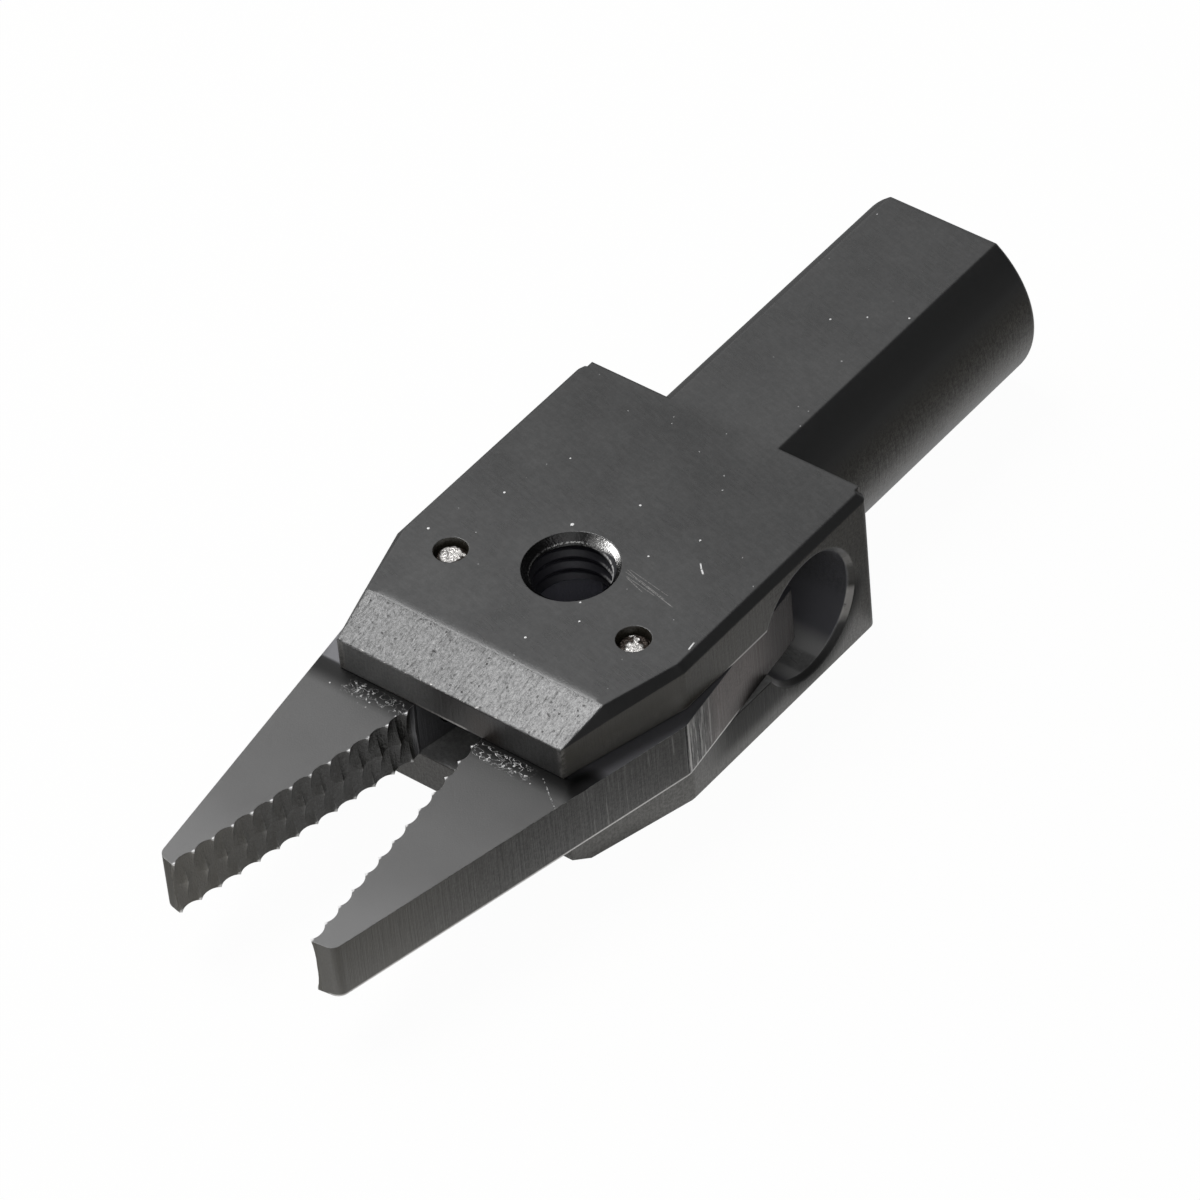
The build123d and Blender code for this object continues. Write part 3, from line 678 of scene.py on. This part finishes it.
# bare metal: the lines from turning or drawing have their own grain per axis, in lines per
# millimetre, and their own depth; stainShade is how bright a stain is, as a share of the tint
turnedLines = (9.0, 0.6, 0.6)
drawnLines = (2.0, 2.0, 2.0)
metalFinishes = {
    "groundSteel": {"tint": grey(0.55), "roughness": 0.24, "lines": turnedLines, "depth": 0.5},
    "nutSteel": {"tint": grey(0.45, 0.02), "roughness": 0.34, "lines": turnedLines, "depth": 0.8},
    "turnedAluminium": {"tint": grey(0.72), "roughness": 0.36, "lines": turnedLines, "depth": 1.2},
    "bushBronze": {"tint": (0.62, 0.40, 0.17, 1.0), "roughness": 0.42, "lines": turnedLines, "depth": 0.4},
    "portMetal": {"tint": grey(0.70), "roughness": 0.32, "lines": turnedLines, "depth": 0.6},
    "springWire": {"tint": grey(0.42, 0.02), "roughness": 0.30, "lines": drawnLines, "depth": 0.4},
    "stainShade": 0.35,
    "edgeRadius": 0.04,
}


def makeMetalLook(name):
    f = metalFinishes[name]
    look = Look(name)
    look.place()
    lines = look.noise(f["lines"], 3.0, 0.6)
    stain = look.noise((0.8, 0.8, 0.8), 3.0, 0.6)
    grain = look.noise((14.0, 14.0, 14.0), 3.0, 0.7)
    stained = tuple(v * metalFinishes["stainShade"] for v in f["tint"][:3]) + (1.0,)
    base = look.blend(stain.rise(0.5, 0.75) * 0.5 + (grain - 0.5) * 0.2, f["tint"], stained)
    rough = f["roughness"] + (lines - 0.5) * 0.2 + (stain - 0.5) * 0.15
    soft = look.rounded(metalFinishes["edgeRadius"])
    normal = look.bump(lines * f["depth"] + grain * 0.4, 0.006, soft)
    return look.finish(base, rough, 1.0, normal)


rubberFinish = {"dark": grey(0.018), "pale": grey(0.03), "roughness": 0.5, "edgeRadius": 0.06}


def makeRubberLook():
    f = rubberFinish
    look = Look("sealRubber")
    look.place()
    grain = look.noise((10.0, 10.0, 10.0), 3.0, 0.6)
    cloud = look.noise((1.2, 1.2, 1.2), 2.0, 0.5)
    base = look.blend(cloud, f["dark"], f["pale"])
    normal = look.bump(grain, 0.006, look.rounded(f["edgeRadius"]))
    return look.finish(base, f["roughness"] + (grain - 0.5) * 0.2, 0.0, normal)


def dress(names, material):
    for name in names:
        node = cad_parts[name]
        node.data.materials.clear()
        node.data.materials.append(material)


dress(["housing"], makeBodyLook())
dress(["jaw_left"], makeJawLook("jaw_left"))
dress(["jaw_right"], makeJawLook("jaw_right"))
dress(["pivot_pin_left"], makePinLook("left"))
dress(["pivot_pin_right"], makePinLook("right"))
dress(["piston_rod"], makeMetalLook("groundSteel"))
dress(["piston_nut"], makeMetalLook("nutSteel"))
dress(["piston", "end_plug"], makeMetalLook("turnedAluminium"))
dress(["rod_bush"], makeMetalLook("bushBronze"))
dress(["plug_seal", "piston_seal"], makeRubberLook())
print("finishes made")


# a mesh over a grid of points, with one face between each four neighbours
def gridMesh(name, points, material, closeAcross=False, smooth=True):
    rows, columns = points.shape[:2]
    across = columns if closeAcross else columns - 1
    i, j = np.meshgrid(np.arange(rows - 1), np.arange(across), indexing="ij")
    k = (j + 1) % columns
    quads = np.stack(
        [i * columns + j, (i + 1) * columns + j, (i + 1) * columns + k, i * columns + k], -1
    ).reshape(-1, 4)
    mesh = bpy.data.meshes.new(name)
    mesh.from_pydata(points.reshape(-1, 3).tolist(), [], quads.tolist())
    mesh.polygons.foreach_set("use_smooth", np.full(len(quads), smooth))
    mesh.materials.append(material)
    mesh.update()
    piece = bpy.data.objects.new(name, mesh)
    bpy.context.scene.collection.objects.link(piece)
    return piece


# both cut threads stand on this grid; the crest's flat and the flank are shares of half a pitch
threadGrid = {"around": 160, "along": 260, "flat": 0.12, "flank": 0.70}
# the cut thread in the top plate, in millimetres
threadShape = {
    "centre": (27.8, 0.0),
    "rootRadius": 1.985,
    "crestRadius": 1.80,
    "mouthRadius": 2.212,
    "pitch": 0.7,
    "top": 3.985,
    "bottom": 1.535,
}
# blackened and oily; its countersink, crests and inner rim carry painted highlights where they
# catch the light, at the two places given below, and deeper down it is painted lighter as fill light
threadFinish = {
    "index": 1.8,
    "deep": (0.024, 0.024, 0.033, 1.0),
    "mouth": (0.009, 0.009, 0.014, 1.0),
    "cone": grey(0.05),
    # near-white metal for the painted highlights
    "wearAndHighlight": grey(0.95, 0.01),
    "roughness": 0.22,
    "glareAt": (25.9, 0.55),
    "flankAt": (26.6, 1.3),
}


def makeThreadLook():
    f = threadFinish
    look = Look("cutThread")
    look.place()
    grain = look.noise((8.0, 8.0, 8.0), 3.0, 0.65)
    rim = look.around(*threadShape["centre"])
    depth = threadShape["top"] - look.z
    # the countersink is where depth and radius fit its slope
    cone = abs(rim + depth - threadShape["mouthRadius"]).rise(0.04, 0.02)
    # a painted glare on the countersink
    wornAndHighlit = look.around(*f["glareAt"]).rise(1.35, 0.5) * cone * (0.35 + grain.rise(0.22, 0.5) * 0.65)
    flank = look.around(*f["flankAt"]).rise(1.5, 0.6) * (1 - cone)
    crest = rim.rise(1.87, 1.82) * (1 - cone) * grain.rise(0.30, 0.55)
    lip = abs(rim - 1.90).rise(0.035, 0.015) * cone * grain.rise(0.40, 0.58)
    bright = strongest(crest * flank * 0.7, lip * 0.4, wornAndHighlit)
    # painted fill light: lighter and bluer deeper in the hole
    base = look.blend(depth.rise(0.4, 1.8), f["mouth"], f["deep"])
    base = look.blend(cone, base, f["cone"])
    base = look.blend(bright, base, f["wearAndHighlight"])
    rough = f["roughness"] + (grain - 0.5) * 0.2 + (1 - cone) * 0.3
    normal = look.bump(grain * (1 + 1.4 * cone), 0.012)
    return look.finish(base, rough, bright.most(cone * 0.6 + 0.4), normal, f["index"])


# internal thread: the radius follows a rounded saw along the axis that turns once
# around per pitch, and never comes nearer the axis than the countersink lets it
def makeThread(name, shape, material, place):
    turns = np.linspace(0, 2 * np.pi, threadGrid["around"] + 1)[:-1]
    heights = np.linspace(shape["bottom"], shape["top"], threadGrid["along"])
    h, t = np.meshgrid(heights, turns, indexing="ij")
    saw = np.abs(((h / shape["pitch"] - t / (2 * np.pi)) % 1.0) * 2 - 1)
    flank = np.clip((saw - threadGrid["flat"]) / threadGrid["flank"], 0, 1)
    radius = shape["crestRadius"] + (shape["rootRadius"] - shape["crestRadius"]) * flank
    radius = np.maximum(radius, shape["mouthRadius"] - (shape["top"] - h))
    points = place(radius * np.cos(t), radius * np.sin(t), h) * mm
    return gridMesh(name, points, material, closeAcross=True)


cx, cy = threadShape["centre"]
centreThread = makeThread(
    "centreThread",
    threadShape,
    makeThreadLook(),
    lambda u, v, w: np.stack([cx + u, cy + v, w], -1),
)
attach(centreThread, "body")

# the cut thread in the air port, in millimetres inward from the shank's end
portShape = {
    "rootRadius": 2.485,
    "crestRadius": 2.1,
    "mouthRadius": 2.48,
    "pitch": 0.8,
    "top": -0.02,
    "bottom": -3.38,
}
portThread = makeThread(
    "portThread",
    portShape,
    makeMetalLook("portMetal"),
    lambda u, v, w: np.stack([-w, -u, v], -1),
)
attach(portThread, "body")
print("threads made")


# both springs, in millimetres
springShapes = {
    "return_spring": {
        "start": (8.62, 0.0, 0.0),
        "end": (15.18, 0.0, 0.0),
        "radius": 2.2,
        "wire": 0.19,
        "turns": 5.5,
        # the plane that it is pressed toward, and the share of its length that is left
        "seat": 15.40,
        "keep": 0.565,
    },
    "jaw_spring": {
        "start": (33.932, -2.480, 0.0),
        "end": (33.768, 2.190, 0.0),
        "radius": 0.67,
        "wire": 0.125,
        "turns": 5.5,
        # where the two halves meet, and how far each pocket holds its end, as shares of the line
        "middle": 0.56,
        "held": 0.22,
    },
}
pointsPerTurn = 40
wireSides = 12


# round wire: a circle carried along a helix around the line from start to end, over the share
# of that line from first to last
def makeSpring(name, node, shape, material, first=0.0, last=1.0):
    start, end = np.array(shape["start"]), np.array(shape["end"])
    axis = (end - start) / np.linalg.norm(end - start)
    side = np.cross(axis, (0.0, 0.0, 1.0))
    side = side / np.linalg.norm(side)
    up = np.cross(axis, side)
    s = np.linspace(first, last, int(shape["turns"] * pointsPerTurn * (last - first)))
    turn = 2 * np.pi * shape["turns"] * s
    out = np.cos(turn)[:, None] * side + np.sin(turn)[:, None] * up
    line = start + (end - start) * s[:, None] + shape["radius"] * out
    forward = np.gradient(line, axis=0)
    forward = forward / np.linalg.norm(forward, axis=1)[:, None]
    other = np.cross(forward, out)
    ring = np.linspace(0, 2 * np.pi, wireSides + 1)[:-1]
    # the end points come twice, the outer one with almost no width, which closes the wire
    twice = np.r_[0, np.arange(len(s)), len(s) - 1]
    line, out, other = line[twice], out[twice], other[twice]
    thick = np.full(len(twice), shape["wire"])
    thick[0] = thick[-1] = 1e-4
    circle = (
        np.cos(ring)[None, :, None] * out[:, None, :]
        + np.sin(ring)[None, :, None] * other[:, None, :]
    )
    points = line[:, None, :] + thick[:, None, None] * circle
    piece = gridMesh(name, points * mm, material, closeAcross=True)
    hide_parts(node)
    return piece


wireLook = makeMetalLook("springWire")
backShape = springShapes["return_spring"]
backSpring = makeSpring("returnSpringCoil", "return_spring", backShape, wireLook)
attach(backSpring, "body")
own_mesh(backSpring)

# the small spring stands between the two pockets, made as two halves that meet near the middle
jawShape = springShapes["jaw_spring"]
start, end = np.array(jawShape["start"]), np.array(jawShape["end"])
for side, tip in (("right", 0.0), ("left", 1.0)):
    first, last = sorted((tip, jawShape["middle"]))
    half = makeSpring("jawSpring_" + side, "jaw_spring", jawShape, wireLook, first, last)
    grip = abs(tip - jawShape["held"])
    held, free = [(start + (end - start) * share) * mm for share in (grip, jawShape["middle"])]
    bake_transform(half)
print("springs made")


# pale floor, soft light from above and from the left; lengths are in millimetres
stageSettings = {
    "floorHeight": -4.03,
    "floorHalf": 160.0,
    "floorColour": (0.86, 0.85, 0.81, 1.0),
    "floorWhite": 0.97,  # how far the camera sees the floor as plain white
    "aim": (30.0, 0.0, 2.0),
    "overhead": {"towards": (-0.02, -0.47, 0.88), "distance": 430.0, "size": 230.0, "radiance": 7.5},
    "left": {"towards": (0.337, -0.897, 0.282), "distance": 420.0, "size": 120.0, "radiance": 4.5},
    # how bright the room is on the whole and in some directions, and how far that reaches, in degrees
    "dim": 0.035,
    "glows": [
        ((-0.60, -0.55, 0.58), 0.38, 12.0, 60.0),
        ((0.10, -0.90, 0.40), 0.40, 10.0, 60.0),
        ((-0.20, 0.95, -0.10), 0.11, 15.0, 45.0),
        ((0.54, 0.49, 0.69), 1.0, 12.0, 34.0),
    ],
}

# painted light: how bright the metal sees the floor glow, far away, under the part, and rising toward
# its sides, where each step adds its share between two distances; shadow is a painted shadow, how much
# darker it is beside the body's left side, and behind is the same for the shank
floorShine = {
    "far": 0.12,
    "below": 0.54,
    "shadow": 0.46,
    "behind": 0.22,
    "steps": [(0.10, 60.0, 10.0), (0.08, 14.0, 5.0), (0.60, 4.2, 0.8)],
    # half the part's width: the shank, what the body adds, and what the front takes off per mm
    "shankHalf": 5.0,
    "bodyMore": 3.0,
    "frontFrom": 33.0,
    "frontLess": 0.22,
}


def makeFloor():
    half = stageSettings["floorHalf"] * mm
    height = stageSettings["floorHeight"] * mm
    u, v = np.meshgrid(np.linspace(-half, half, 3), np.linspace(-half, half, 3), indexing="ij")
    look = Look("paleFloor")
    path = look.add("ShaderNodeLightPath", out="Is Camera Ray")
    mirrored = path.pick("Is Glossy Ray").most(path.pick("Is Transmission Ray"))
    # painted reflection: in the metal the floor glows brightest close beside the part and falls off
    # outward
    look.place()
    shine = floorShine
    part = shine["shankHalf"] + look.x.rise(16.2, 17.2) * shine["bodyMore"]
    part = part - (look.x - shine["frontFrom"]).most(0.0) * shine["frontLess"]
    beside = abs(look.y) - part
    level = shine["far"]
    for step, start, end in shine["steps"]:
        level = beside.rise(start, end) * step + level
    shadow = beside.rise(0.5, 1.1) * beside.rise(2.8, 2.0) * look.y.rise(0.0, 1.0)
    shadow = shadow * look.x.rise(27.5, 24.5) * look.x.rise(15.5, 18.5)
    level = level * (1 - shadow * shine["shadow"])
    level = level * (1 - look.x.rise(16.0, 14.0) * shine["behind"])
    outside = beside.rise(-0.9, -0.1)
    level = level * outside + (1 - outside) * shine["below"]
    level = level * mirrored + (1 - mirrored)
    matt = look.add("ShaderNodeBsdfDiffuse", None, {"Color": stageSettings["floorColour"]})
    colour = look.add("ShaderNodeCombineColor", None, {0: level, 1: level, 2: level})
    glow = look.add("ShaderNodeEmission", None, {"Color": colour, "Strength": 1.0})
    share = (path * stageSettings["floorWhite"]).most(mirrored)
    both = look.add("ShaderNodeMixShader", None, {0: share, 1: matt, 2: glow})
    look.add("ShaderNodeOutputMaterial", None, {"Surface": both})
    points = np.stack([u, v, np.full_like(u, height)], -1)
    floor = gridMesh("floor", points, look.material, smooth=False)


def makeWorld():
    world = bpy.data.worlds.new("studio")
    bpy.context.scene.world = world
    world.use_nodes = True
    look = Look("studio", world.node_tree)
    way = look.add("ShaderNodeTexCoord", out="Generated")
    level = stageSettings["dim"]
    for towards, strength, inner, outer in stageSettings["glows"]:
        facing = look.add(
            "ShaderNodeVectorMath",
            {"operation": "DOT_PRODUCT"},
            {0: way, 1: Vector(towards).normalized()},
            out="Value",
        )
        reach = facing.rise(math.cos(math.radians(outer)), math.cos(math.radians(inner)))
        level = reach * strength + level
    camera = look.add("ShaderNodeLightPath", out="Is Camera Ray")
    strength = camera + (1 - camera) * level
    glow = look.add("ShaderNodeBackground", None, {"Color": grey(1.0), "Strength": strength})
    look.add("ShaderNodeOutputWorld", None, {"Surface": glow})


def makePanel(name):
    panel = stageSettings[name]
    lamp = bpy.data.lights.new(name, "AREA")
    lamp.shape = "SQUARE"
    lamp.size = panel["size"] * mm
    # a lamp's power is its radiance times pi times its area
    lamp.energy = panel["radiance"] * math.pi * lamp.size ** 2
    holder = bpy.data.objects.new(name, lamp)
    bpy.context.scene.collection.objects.link(holder)
    towards = Vector(panel["towards"]).normalized()
    holder.location = Vector(stageSettings["aim"]) * mm + towards * panel["distance"] * mm
    holder.rotation_euler = towards.to_track_quat("Z", "Y").to_euler()
    holder.visible_camera = False


# the photograph's camera: right and down are the picture's directions in the part's frame
cameraShot = {
    "place": (207.159, 162.968, 231.151),
    "right": (-0.6134, 0.7863, -0.0742),
    "down": (0.5765, 0.3816, -0.7225),
    "lens": 227.508,
    "sensor": 36.0,
}


def makeCamera():
    data = bpy.data.cameras.new("photoView")
    data.sensor_fit = "HORIZONTAL"
    data.sensor_width = cameraShot["sensor"]
    data.lens = cameraShot["lens"]
    data.clip_start = 0.01
    data.clip_end = 20.0
    camera = bpy.data.objects.new("photoView", data)
    bpy.context.scene.collection.objects.link(camera)
    # the camera looks along its own -Z, with +Y up
    right = Vector(cameraShot["right"]).normalized()
    forward = right.cross(Vector(cameraShot["down"])).normalized()
    down = forward.cross(right)
    place = cameraShot["place"]
    rows = [(right[i], -down[i], -forward[i], place[i] * mm) for i in range(3)]
    camera.matrix_world = Matrix(rows + [(0.0, 0.0, 0.0, 1.0)])
    bpy.context.scene.camera = camera


makeFloor()
makeWorld()
makePanel("overhead")
makePanel("left")
makeCamera()
bpy.context.scene.view_settings.view_transform = "Standard"
print("stage, light and camera made")
